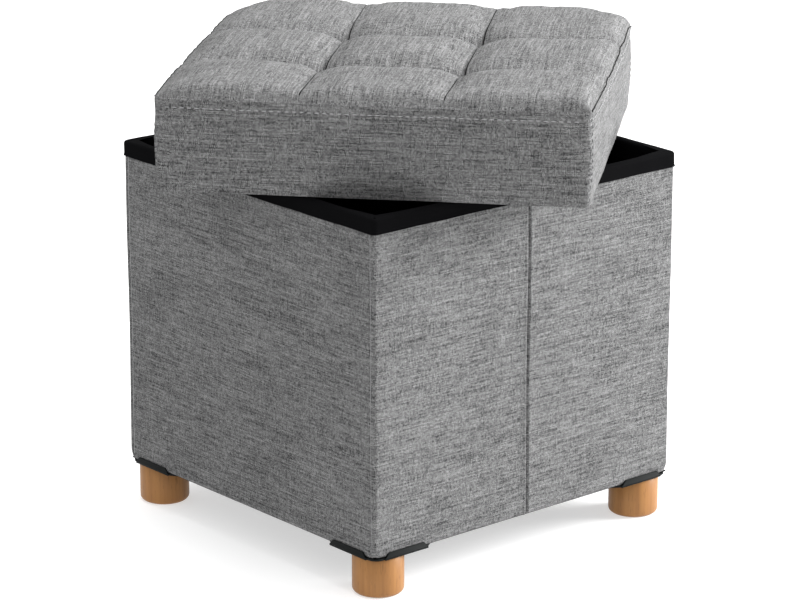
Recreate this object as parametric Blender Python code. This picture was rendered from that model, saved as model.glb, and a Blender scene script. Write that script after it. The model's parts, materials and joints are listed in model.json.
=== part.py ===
"""Cube ottoman: a cloth-covered storage box on four beech feet, with a tufted lift-off lid.

Metres, +Z up. The origin is on the floor under the middle of the box. The box's fold
seams are on its -X and +X sides. The lid lies askew on the rim, clear of the box.
"""

import math

import bmesh
import bpy
from mathutils import Matrix, Vector

# Gaps and clearances
GAP = 0.0003  # between two pieces that touch
BOLT_CLEARANCE = 0.0005  # round a bolt in the pieces it passes through
BASE_CLEARANCE = 0.0008  # between the loose bottom board and the linings
CORD_CLEARANCE = 0.0005  # round a tufting cord

# Box, measured outside its cloth and without the rim
BOX_WIDTH = 0.380
BOX_DEPTH = 0.380
BOX_HEIGHT = 0.312
COVER = 0.0012  # outer cloth with its backing
WALL_BOARD = 0.006
CORNER_FOLD = 0.0050  # how far the front and back boards stop short of the corner, where the cloth folds
LINING = 0.0008
BASE_CLOTH = 0.0010
BASE_BOARD = 0.005
FOLD_GAP = 0.0040  # between the two halves of a side's board
FOLD_SEAM_WIDTH = 0.0030
FOLD_SEAM_DEPTH = 0.0007

# Rim binding
RIM_HEIGHT = 0.016
RIM_CLOTH = 0.0016
RIM_PROUD = 0.0005
RIM_EDGE = 0.0018  # chamfer along its top

# Feet and what holds them
FOOT_HEIGHT = 0.0395
FOOT_RADIUS = 0.0246
FOOT_EDGE = 0.0024  # rounding at the floor
FOOT_INSET = 0.0240  # from the box's outside to the foot's axis
BOLT_RADIUS = 0.0040
BOLT_IN_FOOT = 0.024
BOLT_PAST_NUT = 0.0020
NUT_ACROSS_FLATS = 0.013
NUT_HEIGHT = 0.0080
FLANGE_RADIUS = 0.0089
FLANGE_HEIGHT = 0.0018

# Corner brackets
BRACKET_PLATE = 0.0020
BRACKET_CORNER = 0.0100  # rounding at the box's corner
BRACKET_ARM = 0.0765  # along each side, from the corner
BRACKET_ARM_WIDTH = 0.020
BRACKET_TIP_INSET = 0.0080  # of an arm's tip, under the box
BRACKET_MIDDLE = 0.050  # where the plate's cut corner bulges
LIP = 0.0016
LIP_HEIGHT = 0.0045  # above the box's underside
LIP_STEP = 0.0001  # keeps a lip's faces off the plate's
LIP_START = 0.0115  # along each side, from the corner
LIP_END = 0.0640
LIP_SLOPE = 0.0048  # how far a lip's ends lean in

# Pull tab on the bottom board
TAB_WIDTH = 0.025
TAB_LENGTH = 0.070
TAB_THICKNESS = 0.0016
TAB_FROM_FRONT = 0.030

# Lid
LID_CLEARANCE = 0.004  # between the rim and the skirt boards when the lid is closed
LID_BAND_HEIGHT = 0.089  # from its lower edge to the seam round its top
LID_CROWN = 0.013
LID_CROWN_INSET = 0.034
LID_SHIFT = (0.004, 0.004)
LID_TURN = math.radians(40.8)
LID_COVER = 0.0012
LID_RECESS = 0.040
LID_BOARD = 0.009
SKIRT_BOARD = 0.005
TIE_ROOM = 0.0032  # between the lid board and the lining below it

# Tufting
TUFT_SPACING = 0.134
TUFT_CORD_RADIUS = 0.0010
TUFT_DEPTH = 0.034  # of a cord's upper end, below the crown
TUFT_WASHER_RADIUS = 0.009
TUFT_WASHER = 0.0014
TUFT_KNOT = 0.0010  # of cord below its washer

ROUND_STEPS = 32
SMALL_STEPS = 24
CORD_STEPS = 8
SMOOTH_ANGLE = math.radians(35)

# Levels
PLATE_BOTTOM = FOOT_HEIGHT + GAP
BOX_BOTTOM = PLATE_BOTTOM + BRACKET_PLATE + GAP
BOX_TOP = BOX_BOTTOM + BOX_HEIGHT
WALL_FOOT = BOX_BOTTOM + BASE_CLOTH + GAP
BASE_TOP = WALL_FOOT + BASE_BOARD
RIM_TOP = BOX_TOP + RIM_HEIGHT
LID_BOTTOM = RIM_TOP + GAP

# Insets of the wall's layers from the box's outside
BOARD_INSET = COVER + GAP
LINING_INSET = BOARD_INSET + WALL_BOARD + GAP
INSIDE_INSET = LINING_INSET + LINING

HALF_X = BOX_WIDTH / 2
HALF_Y = BOX_DEPTH / 2

# Half the lid, outside its cloth: it closes over the rim
LID_REACH = RIM_PROUD + LID_CLEARANCE + SKIRT_BOARD + GAP + LID_COVER
LID_HALF_X = HALF_X + LID_REACH
LID_HALF_Y = HALF_Y + LID_REACH

FINISHES = {
    "grey_linen": ((0.22, 0.22, 0.225), 0.95, 0.0),
    "black_binding": ((0.012, 0.012, 0.013), 0.85, 0.0),
    "black_nonwoven": ((0.015, 0.015, 0.016), 0.95, 0.0),
    "fibreboard": ((0.36, 0.25, 0.15), 0.8, 0.0),
    "lined_board": ((0.015, 0.015, 0.016), 0.95, 0.0),
    "foam": ((0.75, 0.72, 0.60), 0.95, 0.0),
    "beech": ((0.55, 0.33, 0.16), 0.5, 0.0),
    "black_plastic": ((0.014, 0.015, 0.016), 0.45, 0.0),
    "zinc_steel": ((0.55, 0.55, 0.56), 0.35, 1.0),
    "waxed_cord": ((0.10, 0.10, 0.10), 0.8, 0.0),
}


def clear_scene():
    for obj in list(bpy.data.objects):
        bpy.data.objects.remove(obj, do_unlink=True)


def finish(name):
    """The material of this name, made once."""
    if name in bpy.data.materials:
        return bpy.data.materials[name]
    colour, roughness, metallic = FINISHES[name]
    material = bpy.data.materials.new(name)
    material.use_nodes = True
    shader = material.node_tree.nodes["Principled BSDF"]
    shader.inputs["Base Color"].default_value = (*colour, 1.0)
    shader.inputs["Roughness"].default_value = roughness
    shader.inputs["Metallic"].default_value = metallic
    material.diffuse_color = (*colour, 1.0)
    return material


def add_piece(name, bm, finish_name, place=(0, 0, 0), parent=None, smooth=False):
    """An object made from a bmesh, with its normals pointing out."""
    bmesh.ops.recalc_face_normals(bm, faces=bm.faces)
    mesh = bpy.data.meshes.new(name)
    bm.to_mesh(mesh)
    bm.free()
    if smooth:
        mesh.shade_smooth()
        mesh.set_sharp_from_angle(angle=SMOOTH_ANGLE)
    mesh.materials.append(finish(finish_name))
    obj = bpy.data.objects.new(name, mesh)
    bpy.context.scene.collection.objects.link(obj)
    obj.location = place
    obj.parent = parent
    return obj


def add_block(name, low, high, finish_name, parent=None):
    """A rectangular board or panel between two corners, with its origin at its middle."""
    low, high = Vector(low), Vector(high)
    bm = bmesh.new()
    bmesh.ops.create_cube(bm, size=1.0)
    bmesh.ops.scale(bm, vec=high - low, verts=bm.verts)
    return add_piece(name, bm, finish_name, (low + high) / 2, parent)


def prism(outline, depth):
    """A bmesh of an outline in XY, extruded by depth along +Z."""
    bm = bmesh.new()
    face = bm.faces.new([bm.verts.new((x, y, 0)) for x, y in outline])
    walls = bmesh.ops.extrude_face_region(bm, geom=[face])
    raised = [item for item in walls["geom"] if isinstance(item, bmesh.types.BMVert)]
    bmesh.ops.translate(bm, verts=raised, vec=(0, 0, depth))
    return bm


def turned(profile, steps, closed=False):
    """A bmesh of a (radius, height) profile spun about the Z axis."""
    bm = bmesh.new()
    verts = [bm.verts.new((radius, 0, height)) for radius, height in profile]
    edges = [bm.edges.new(pair) for pair in zip(verts, verts[1:])]
    if closed:
        edges.append(bm.edges.new((verts[-1], verts[0])))
    bmesh.ops.spin(
        bm, geom=verts + edges, cent=(0, 0, 0), axis=(0, 0, 1), dvec=(0, 0, 0),
        angle=2 * math.pi, steps=steps, use_merge=True, use_duplicate=False,
    )
    bmesh.ops.remove_doubles(bm, verts=bm.verts, dist=1e-6)
    return bm


def lofted_frames(half_x, half_y, rings):
    """A bmesh through rectangles of (inset, height), with its two ends closed."""
    bm = bmesh.new()
    corners = ((-1, -1), (1, -1), (1, 1), (-1, 1))
    loops = []
    for inset, z in rings:
        reach_x, reach_y = half_x - inset, half_y - inset
        loops.append([bm.verts.new((x * reach_x, y * reach_y, z)) for x, y in corners])
    for below, above in zip(loops, loops[1:]):
        for i in range(4):
            bm.faces.new((below[i], below[i - 3], above[i - 3], above[i]))
    bm.faces.new(loops[0])
    bm.faces.new(loops[-1])
    return bm


def boolean(obj, other, operation):
    modifier = obj.modifiers.new(other.name, "BOOLEAN")
    modifier.operation = operation
    modifier.solver = "EXACT"
    modifier.object = other


def add_guide(name, bm, place=(0, 0, 0), parent=None):
    """A cutter or a joined shape, which isn't a piece of its own."""
    guide = add_piece(name, bm, "black_plastic", place, parent)
    guide.hide_render = True
    guide.display_type = "WIRE"
    return guide


def rod(radius, length, steps):
    return turned(((0, 0), (radius, 0), (radius, length), (0, length)), steps)


def sides():
    """(name, sign along X, sign along Y) of each corner of the box."""
    for side, x in (("left", -1), ("right", 1)):
        for end, y in (("front", -1), ("back", 1)):
            yield f"{end}_{side}", x, y


def add_walls():
    """The boards of the four walls. A side's board is in two halves that meet at its fold."""
    top = RIM_TOP - RIM_CLOTH - GAP
    x_in, y_in = HALF_X - BOARD_INSET, HALF_Y - BOARD_INSET
    for name, y in (("front", -1), ("back", 1)):
        near, far = sorted((y * y_in, y * (y_in - WALL_BOARD)))
        end = x_in - CORNER_FOLD
        add_block(f"{name}_board", (-end, near, WALL_FOOT), (end, far, top), "fibreboard")
    fold, end = FOLD_GAP / 2, y_in - WALL_BOARD - GAP
    for name, x, y in sides():
        x_low, x_high = sorted((x * x_in, x * (x_in - WALL_BOARD)))
        y_low, y_high = sorted((y * fold, y * end))
        low, high = (x_low, y_low, WALL_FOOT), (x_high, y_high, top)
        add_block(f"side_board_{name}", low, high, "fibreboard")


def side_cover_outline():
    """The plan of a side's cloth: its outer face has the groove of the fold seam."""
    half = HALF_Y - COVER - GAP
    groove = FOLD_SEAM_WIDTH / 2
    return (
        (0, -half), (COVER, -half), (COVER, -groove), (COVER - FOLD_SEAM_DEPTH, 0),
        (COVER, groove), (COVER, half), (0, half),
    )


def add_covers():
    """The outer cloth, one panel to a wall."""
    for name, y in (("front", -1), ("back", 1)):
        near, far = sorted((y * HALF_Y, y * (HALF_Y - COVER)))
        add_block(f"{name}_cover", (-HALF_X, near, BOX_BOTTOM), (HALF_X, far, BOX_TOP), "grey_linen")
    for name, x in (("left", -1), ("right", 1)):
        bm = prism(side_cover_outline(), BOX_HEIGHT)
        cover = add_piece(f"{name}_cover", bm, "grey_linen", (x * (HALF_X - COVER), 0, BOX_BOTTOM))
        cover.rotation_euler.z = 0 if x > 0 else math.pi


def add_linings():
    """The non-woven cloth inside each wall, and the sewn base under the bottom board."""
    x_out, y_out = HALF_X - LINING_INSET, HALF_Y - LINING_INSET
    for name, y in (("front", -1), ("back", 1)):
        near, far = sorted((y * y_out, y * (y_out - LINING)))
        low, high = (-x_out, near, WALL_FOOT), (x_out, far, BOX_TOP)
        add_block(f"{name}_lining", low, high, "black_nonwoven")
    end = y_out - LINING - GAP
    for name, x in (("left", -1), ("right", 1)):
        near, far = sorted((x * x_out, x * (x_out - LINING)))
        low, high = (near, -end, WALL_FOOT), (far, end, BOX_TOP)
        add_block(f"{name}_lining", low, high, "black_nonwoven")


def rim_profile():
    """The binding across the wall, as (distance in from its outer face, height)."""
    inner = RIM_PROUD + INSIDE_INSET
    outer_leg = RIM_PROUD + COVER
    inner_leg = RIM_PROUD + LINING_INSET
    low, top = BOX_TOP + GAP, RIM_TOP
    under = RIM_TOP - RIM_CLOTH
    return (
        (0, low), (0, top - RIM_EDGE), (RIM_EDGE, top), (inner - RIM_EDGE, top),
        (inner, top - RIM_EDGE), (inner, low), (inner_leg, low), (inner_leg, under),
        (outer_leg, under), (outer_leg, low),
    )


def mitred_strip(profile, half_length, half_across):
    """A bmesh of a profile along X, on the -Y side of a rectangle, with mitred ends."""
    bm = bmesh.new()
    ends = []
    for sign in (-1, 1):
        reach = [(sign * (half_length - GAP - d), -(half_across - d), z) for d, z in profile]
        ends.append([bm.verts.new(point) for point in reach])
    for i in range(len(profile)):
        bm.faces.new((ends[0][i - 1], ends[0][i], ends[1][i], ends[1][i - 1]))
    bm.faces.new(ends[0])
    bm.faces.new(ends[1])
    return bm


def add_rim():
    """The black binding over the wall's top edge, mitred at the corners."""
    half_x, half_y = HALF_X + RIM_PROUD, HALF_Y + RIM_PROUD
    turns = (("front", 0), ("right", 1), ("back", 2), ("left", 3))
    for name, quarter in turns:
        along, across = (half_x, half_y) if quarter % 2 == 0 else (half_y, half_x)
        bm = mitred_strip(rim_profile(), along, across)
        strip = add_piece(f"rim_binding_{name}", bm, "black_binding")
        strip.rotation_euler.z = quarter * math.pi / 2


def add_base(bolt_cutters):
    """The sewn base cloth, the loose bottom board on it and the board's pull tab."""
    x_out, y_out = HALF_X - COVER - GAP, HALF_Y - COVER - GAP
    low, high = (-x_out, -y_out, BOX_BOTTOM), (x_out, y_out, BOX_BOTTOM + BASE_CLOTH)
    cloth = add_block("base_cloth", low, high, "black_nonwoven")
    inset = INSIDE_INSET + BASE_CLEARANCE
    x_in, y_in = HALF_X - inset, HALF_Y - inset
    board = add_block("bottom_board", (-x_in, -y_in, WALL_FOOT), (x_in, y_in, BASE_TOP), "lined_board")
    for cutter in bolt_cutters:
        boolean(cloth, cutter, "DIFFERENCE")
        boolean(board, cutter, "DIFFERENCE")
    tab_y = TAB_FROM_FRONT - y_in
    low = (-TAB_WIDTH / 2, tab_y, BASE_TOP + GAP)
    high = (TAB_WIDTH / 2, tab_y + TAB_LENGTH, BASE_TOP + GAP + TAB_THICKNESS)
    add_block("pull_tab", low, high, "black_binding")


def foot_profile():
    """Half a foot, from its bolt hole round to the middle of its flat underside."""
    hole = BOLT_RADIUS + GAP
    hole_bottom = FOOT_HEIGHT - BOLT_IN_FOOT - GAP
    curve = [(0, hole_bottom), (hole, hole_bottom), (hole, FOOT_HEIGHT), (FOOT_RADIUS, FOOT_HEIGHT)]
    for step in range(5):
        angle = math.pi / 2 * step / 4
        radius = FOOT_RADIUS - FOOT_EDGE * (1 - math.cos(angle))
        curve.append((radius, FOOT_EDGE * (1 - math.sin(angle))))
    return curve + [(0, 0)]


def nut_profile():
    """A flange nut's section, closed round its hole."""
    hole, flat = BOLT_RADIUS + GAP, NUT_ACROSS_FLATS / 2
    return (
        (hole, 0), (FLANGE_RADIUS, 0), (FLANGE_RADIUS, FLANGE_HEIGHT),
        (flat, FLANGE_HEIGHT), (flat, NUT_HEIGHT), (hole, NUT_HEIGHT),
    )


def make_hexagonal(bm):
    """Moves the round body above a nut's flange out to six flats."""
    flat = NUT_ACROSS_FLATS / 2
    for vert in bm.verts:
        radius = vert.co.xy.length
        if abs(radius - flat) > 1e-5:
            continue
        angle = math.atan2(vert.co.y, vert.co.x) % (math.pi / 3) - math.pi / 6
        vert.co.xy *= 1 / math.cos(angle)


def add_foot(name, x, y):
    """A turned beech foot, its hanger bolt and the flange nut inside the box."""
    place = (x * (HALF_X - FOOT_INSET), y * (HALF_Y - FOOT_INSET), 0)
    add_piece(f"foot_{name}", turned(foot_profile(), ROUND_STEPS), "beech", place, smooth=True)
    nut_z = BASE_TOP + GAP
    bolt_z = FOOT_HEIGHT - BOLT_IN_FOOT
    bolt_length = nut_z + NUT_HEIGHT + BOLT_PAST_NUT - bolt_z
    bolt = rod(BOLT_RADIUS, bolt_length, SMALL_STEPS)
    add_piece(f"hanger_bolt_{name}", bolt, "zinc_steel", (*place[:2], bolt_z), smooth=True)
    nut = turned(nut_profile(), SMALL_STEPS, closed=True)
    make_hexagonal(nut)
    add_piece(f"flange_nut_{name}", nut, "zinc_steel", (*place[:2], nut_z), smooth=True)


def add_bolt_cutter(name, x, y):
    """What the bracket, base cloth and bottom board lose to a bolt."""
    low = PLATE_BOTTOM - BOLT_CLEARANCE
    length = BASE_TOP + BOLT_CLEARANCE - low
    place = (x * (HALF_X - FOOT_INSET), y * (HALF_Y - FOOT_INSET), low)
    return add_guide(f"bolt_cutter_{name}", rod(BOLT_RADIUS + BOLT_CLEARANCE, length, SMALL_STEPS), place)


def bracket_outline():
    """A corner plate's plan, from the box's corner inwards, the same on both sides of its diagonal."""
    edge, radius = -(GAP + LIP), BRACKET_CORNER
    start, end = LIP_START - LIP_STEP, LIP_END + LIP_STEP
    angles = [math.radians(degrees) for degrees in (45, 60, 75, 90)]
    half = [(radius * (1 - math.cos(a)), radius * (1 - math.sin(a))) for a in angles]
    half += [
        (start, 0), (start, edge), (end, edge), (end, 0), (BRACKET_ARM, BRACKET_TIP_INSET),
        (BRACKET_ARM, BRACKET_ARM_WIDTH), (BRACKET_MIDDLE, BRACKET_MIDDLE),
    ]
    return half + [(across, along) for along, across in reversed(half[1:-1])]


def lip_bodies(shared):
    """The two lips of a bracket as bmeshes."""
    foot = BRACKET_PLATE / 2
    top = BRACKET_PLATE + GAP + LIP_HEIGHT
    side_view = (
        (LIP_START, foot), (LIP_START + LIP_SLOPE, top), (LIP_END - LIP_SLOPE, top), (LIP_END, foot),
    )
    outer = LIP + GAP - LIP_STEP
    for mirrored in (False, True):
        bm = prism(side_view, LIP - LIP_STEP)
        bm.transform(Matrix.Rotation(math.pi / 2, 4, "X"))
        bmesh.ops.translate(bm, verts=bm.verts, vec=(0, -outer + LIP - LIP_STEP, 0))
        if mirrored:
            bm.transform(Matrix(((0, 1, 0, 0), (1, 0, 0, 0), (0, 0, 1, 0), (0, 0, 0, 1))))
        bm.transform(shared)
        yield bm


def add_bracket(name, x, y, bolt_cutter):
    """A corner plate under the box, with a lip up each of the two sides."""
    turn = Matrix.Diagonal((-x, -y, 1, 1))
    plate = prism(bracket_outline(), BRACKET_PLATE)
    plate.transform(turn)
    place = (x * HALF_X, y * HALF_Y, PLATE_BOTTOM)
    bracket = add_piece(f"corner_bracket_{name}", plate, "black_plastic", place)
    for i, lip in enumerate(lip_bodies(turn)):
        boolean(bracket, add_guide(f"lip_{name}_{i}", lip, place), "UNION")
    boolean(bracket, bolt_cutter, "DIFFERENCE")


def add_feet():
    cutters = []
    for name, x, y in sides():
        cutter = add_bolt_cutter(name, x, y)
        add_foot(name, x, y)
        add_bracket(name, x, y, cutter)
        cutters.append(cutter)
    return cutters


def lid_empty():
    """The lid's own frame, on the axis that it lifts along."""
    empty = bpy.data.objects.new("lid_frame", None)
    bpy.context.scene.collection.objects.link(empty)
    empty.location = (*LID_SHIFT, LID_BOTTOM)
    empty.rotation_euler.z = LID_TURN
    return empty


def add_lid_sides(lid):
    """The four cloth bands round the lid, and the skirt boards inside them."""
    layers = (
        ("lid_band", 0, LID_COVER, LID_BAND_HEIGHT, "grey_linen"),
        ("lid_skirt", LID_COVER + GAP, SKIRT_BOARD, LID_RECESS - GAP, "lined_board"),
    )
    for label, inset, thick, height, finish_name in layers:
        x_out, y_out = LID_HALF_X - inset, LID_HALF_Y - inset
        for name, y in (("front", -1), ("back", 1)):
            near, far = sorted((y * y_out, y * (y_out - thick)))
            low, high = (-x_out, near, 0), (x_out, far, height)
            add_block(f"{label}_{name}", low, high, finish_name, lid)
        end = y_out - thick - GAP
        for name, x in (("left", -1), ("right", 1)):
            near, far = sorted((x * x_out, x * (x_out - thick)))
            low, high = (near, -end, 0), (far, end, height)
            add_block(f"{label}_{name}", low, high, finish_name, lid)


def lid_crown_rings():
    """(foam rings, cover rings) of the lid's padded top, each an inset and a height."""
    seam, crown = LID_BAND_HEIGHT + GAP, LID_BAND_HEIGHT + LID_CROWN
    cover = (
        (LID_COVER + LID_CROWN_INSET, crown - LID_COVER), (LID_COVER, seam),
        (0, seam), (LID_CROWN_INSET, crown),
    )
    foam_inset = LID_COVER + GAP
    foam = (
        (foam_inset, LID_RECESS + LID_BOARD + GAP), (foam_inset, seam - GAP),
        (foam_inset + LID_CROWN_INSET, crown - LID_COVER - GAP),
    )
    return foam, cover


def add_lid_top(lid):
    """The lid's board, its lining, the foam on it and the top cover."""
    x_out, y_out = LID_HALF_X - LID_COVER - GAP, LID_HALF_Y - LID_COVER - GAP
    low, high = (-x_out, -y_out, LID_RECESS), (x_out, y_out, LID_RECESS + LID_BOARD)
    board = add_block("lid_board", low, high, "fibreboard", lid)
    x_in, y_in = x_out - SKIRT_BOARD - GAP, y_out - SKIRT_BOARD - GAP
    lining_top = LID_RECESS - TIE_ROOM
    low, high = (-x_in, -y_in, lining_top - LINING), (x_in, y_in, lining_top)
    add_block("lid_lining", low, high, "black_nonwoven", lid)
    pads = (("foam_pad", "foam"), ("cushion_cover", "grey_linen"))
    foam, _ = (
        add_piece(name, lofted_frames(LID_HALF_X, LID_HALF_Y, rings), finish_name, parent=lid)
        for (name, finish_name), rings in zip(pads, lid_crown_rings())
    )
    return board, foam


def add_tuft(name, x, y, lid, pierced):
    """A tufting cord, the washer it is tied over, and its way through the pieces."""
    washer_z = LID_RECESS - GAP - TUFT_WASHER
    cord_z = washer_z - TUFT_KNOT
    cord_length = LID_BAND_HEIGHT + LID_CROWN - TUFT_DEPTH - cord_z
    hole = TUFT_CORD_RADIUS + CORD_CLEARANCE
    cord = rod(TUFT_CORD_RADIUS, cord_length, CORD_STEPS)
    add_piece(f"tuft_cord_{name}", cord, "waxed_cord", (x, y, cord_z), lid, smooth=True)
    ring = ((hole, 0), (TUFT_WASHER_RADIUS, 0), (TUFT_WASHER_RADIUS, TUFT_WASHER), (hole, TUFT_WASHER))
    washer = turned(ring, SMALL_STEPS, closed=True)
    add_piece(f"tuft_washer_{name}", washer, "zinc_steel", (x, y, washer_z), lid, smooth=True)
    way = rod(hole, LID_BAND_HEIGHT + 2 * LID_CROWN - LID_RECESS + 2 * GAP, CORD_STEPS)
    cutter = add_guide(f"tuft_cutter_{name}", way, (x, y, LID_RECESS - GAP), lid)
    for piece in pierced:
        boolean(piece, cutter, "DIFFERENCE")


def add_lid():
    lid = lid_empty()
    add_lid_sides(lid)
    pierced = add_lid_top(lid)
    for name, x, y in sides():
        add_tuft(name, x * TUFT_SPACING / 2, y * TUFT_SPACING / 2, lid, pierced)


def build():
    clear_scene()
    add_walls()
    add_covers()
    add_linings()
    add_rim()
    add_base(add_feet())
    add_lid()


build()
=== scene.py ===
"""The looks of the cube ottoman: linen-look covers, tufted lid, bound rim, beech feet.

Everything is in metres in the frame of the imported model. The lid's own pieces are made
square to the axes, round the lid's middle, and turned with it at the end.
"""

import math

import bmesh
import bpy
import json
from mathutils import Matrix, Vector, noise
from mathutils.bvhtree import BVHTree


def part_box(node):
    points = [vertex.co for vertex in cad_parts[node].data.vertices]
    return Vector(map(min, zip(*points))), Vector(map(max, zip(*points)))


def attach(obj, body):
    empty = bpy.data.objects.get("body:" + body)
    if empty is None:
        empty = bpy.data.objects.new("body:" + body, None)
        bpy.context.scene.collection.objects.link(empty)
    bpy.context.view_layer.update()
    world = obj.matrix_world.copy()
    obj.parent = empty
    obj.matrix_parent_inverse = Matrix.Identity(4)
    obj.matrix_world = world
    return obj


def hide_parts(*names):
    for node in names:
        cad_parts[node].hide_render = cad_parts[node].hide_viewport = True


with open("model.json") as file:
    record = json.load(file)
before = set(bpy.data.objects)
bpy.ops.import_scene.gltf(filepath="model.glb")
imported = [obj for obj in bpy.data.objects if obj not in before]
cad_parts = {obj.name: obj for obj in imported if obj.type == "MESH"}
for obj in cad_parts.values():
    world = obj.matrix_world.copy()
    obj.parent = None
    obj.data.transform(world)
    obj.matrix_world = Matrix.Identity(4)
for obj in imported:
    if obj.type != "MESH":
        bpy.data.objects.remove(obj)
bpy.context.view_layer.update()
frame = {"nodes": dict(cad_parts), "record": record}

# ---------------------------------------------------------------- sizes from the frame
SIDES = ("front", "back", "left", "right")
CORNERS = ("front_left", "front_right", "back_left", "back_right")
BOX_LOW, BOX_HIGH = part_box("front_cover")[0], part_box("back_cover")[1]
HALF_X, HALF_Y = BOX_HIGH.x, BOX_HIGH.y
BOX_BOTTOM, BOX_TOP = BOX_LOW.z, BOX_HIGH.z
RIM_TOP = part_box("rim_binding_front")[1].z
RIM_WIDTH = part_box("rim_binding_front")[1].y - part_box("rim_binding_front")[0].y
RIM_HALF = -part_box("rim_binding_front")[0].y

LID_TURN = math.radians(40.8)
LID_LOW, LID_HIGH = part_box("cushion_cover")
LID_CENTRE = (LID_LOW + LID_HIGH) / 2
LID_HALF = (LID_HIGH.x - LID_LOW.x) / 2 / (math.cos(LID_TURN) + math.sin(LID_TURN))
LID_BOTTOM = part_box("lid_band_front")[0].z
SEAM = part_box("lid_band_front")[1].z - LID_BOTTOM
CROWN = LID_HIGH.z - LID_BOTTOM
LID_PLACE = Matrix.Translation((LID_CENTRE.x, LID_CENTRE.y, LID_BOTTOM)) @ Matrix.Rotation(LID_TURN, 4, "Z")
TUFT = LID_HALF / 3
LID_CELLS = 96
LID_CORNER = 0.0045
CROWN_RUN = 0.022
SLACK_RUN = 0.060
PAD_TOP = CROWN - 0.0014
TUFT_DEPTH = 0.0240
INNER_DEPTH = 0.0100
OUTER_DEPTH = 0.0070
EDGE_DEPTH = 0.0035
TUFT_REACH = 0.060
SLIT_DEPTH = 0.0036
SLIT_HALF = 0.0007
# the black seam threads, which also paint the shade in the lid's seams as a dark line
SEAM_SHADE_THREAD = 0.00055
EDGE_SHADE_THREAD = 0.00045
THREAD_SUNK = 0.0006
SIDE_SWELL = 0.0042
KINK_DEPTH = 0.0018
KINK_REACH = 0.015
SOFT_CORNER = 0.0085
SOFT_REACH = 0.055
VALLEY_HALF = 0.046
VALLEY_WIDER = 0.008
VALLEY_FOOT = 0.024
PUCKER_ACROSS = 0.0007
PUCKER_ALONG = 0.0008
PUCKER_EDGE = 0.0004
PUCKER_TUFT = 0.0012
AIR_SWELL = 0.0011
SIDE_WAVE = 0.0010
TOP_GROOVE = 0.0013
FRONT_GROOVE = 0.0006
UPRIGHT_GROOVE = 0.0012
YARN_PITCH = 0.0010
STITCH_PITCH = 0.0070
CORNER_RADIUS = 0.0035
CORNER_SEAM = 0.0062
PALE_THREAD_RADIUS = 0.00045
WEBBING_RISE = 0.0085

# the box's cloth
SEAM_CUTS = (-2.0, -1.0, -0.5, 0, 0.5, 1.0, 2.0)  # millimetres from the seam beside each corner
FOLD_CUTS = (-4.5, -3.0, -1.8, -0.9, 0, 0.9, 1.8, 3.0, 4.5)  # millimetres from the fold
HEM_CUTS = (0.0006, 0.0014, 0.0028, 0.005, 0.0075)
WALL_STEP = 0.012
COVER_LAP = 0.003
TUCK = 0.0062
TUCK_REACH = 0.011
WALL_WAVE = 0.0009
WALL_RIPPLE = 0.00035
GROOVE_DEPTH = 0.0011
RIDGE_HEIGHT = 0.0005
HEM_HEIGHT = 0.0028
HEM_TURN = 0.0020
FOLD_DEPTH = 0.0021
FOLD_HALF = 0.0016
FOLD_RIDGE = 0.0030  # from the fold to the ridge on each side of it

# the rim's binding
RIM_PROUD = 0.0008
RIM_START = 0.0012
RIM_CORNER = 0.0055
RIM_ROUND = 0.0030
RIM_WAVE = 0.0005
RIM_SKIRT = 0.0035
RIM_LAP = 0.0040

# the feet and the pull tab
FOOT_EDGE = 0.0052
FOOT_EASE = 0.0008
WEBBING_THICKNESS = 0.0013
WEBBING_EASE = 0.0004

# ---------------------------------------------------------------- colours
LINEN_DARK = "#29292A"
LINEN_LIGHT = "#929292"
WEFT_TONE = 0.33
WARP_TONE = 0.21
YARN_ROUNDNESS = 0.20
BINDING = "#070708"
LINING = "#040404"
BEECH_PALE = "#A0723F"
BEECH_DEEP = "#80562F"
BEECH_FLECK = "#5C3C22"
PLASTIC = "#0A0C0C"
ZINC = "#B9BABB"
CORD = "#3A3A3A"


def linear(code):
    """An sRGB hex colour as linear RGBA."""
    parts = (int(code[i:i + 2], 16) / 255 for i in (1, 3, 5))
    return (*(c / 12.92 if c <= 0.04045 else ((c + 0.055) / 1.055) ** 2.4 for c in parts), 1.0)


def in_scene(name, data):
    """A new object that shows some data, in the scene."""
    obj = bpy.data.objects.new(name, data)
    bpy.context.scene.collection.objects.link(obj)
    return obj


# ---------------------------------------------------------------- nodes and materials
def add(material, kind, links=(), inputs=(), **settings):
    """Adds a node. links are (input, source socket), inputs are (input, value)."""
    node = material.node_tree.nodes.new(kind)
    for name, value in settings.items():
        setattr(node, name, value)
    for name, value in inputs:
        node.inputs[name].default_value = value
    for name, source in links:
        material.node_tree.links.new(source, node.inputs[name])
    return node


def new_material(name, roughness, **shader_values):
    material = bpy.data.materials.new(name)
    material.use_nodes = True
    shader = material.node_tree.nodes["Principled BSDF"]
    shader.inputs["Roughness"].default_value = roughness
    for socket, value in shader_values.items():
        shader.inputs[socket.replace("_", " ")].default_value = value
    return material, shader


def stretched_noise(material, vector, scale, detail=2.0, dimensions="2D"):
    """Noise whose cells are 1/scale metres along each axis."""
    mapping = add(material, "ShaderNodeMapping", [("Vector", vector)], [("Scale", scale)])
    return add(
        material, "ShaderNodeTexNoise", [("Vector", mapping.outputs[0])],
        [("Scale", 1.0), ("Detail", detail), ("Roughness", 0.55)], noise_dimensions=dimensions,
    ).outputs["Fac"]


def weighted(material, terms, start):
    """start plus the sum of weight x (source - 0.5)."""
    total = None
    for source, weight in terms:
        centred = add(material, "ShaderNodeMath", [(0, source)], [(1, 0.5)], operation="SUBTRACT")
        scaled = add(
            material, "ShaderNodeMath", [(0, centred.outputs[0])],
            [(1, weight), (2, start if total is None else 0.0)], operation="MULTIPLY_ADD",
        )
        if total is None:
            total = scaled.outputs[0]
        else:
            total = add(
                material, "ShaderNodeMath", [(0, total), (1, scaled.outputs[0])], operation="ADD"
            ).outputs[0]
    return total


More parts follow.
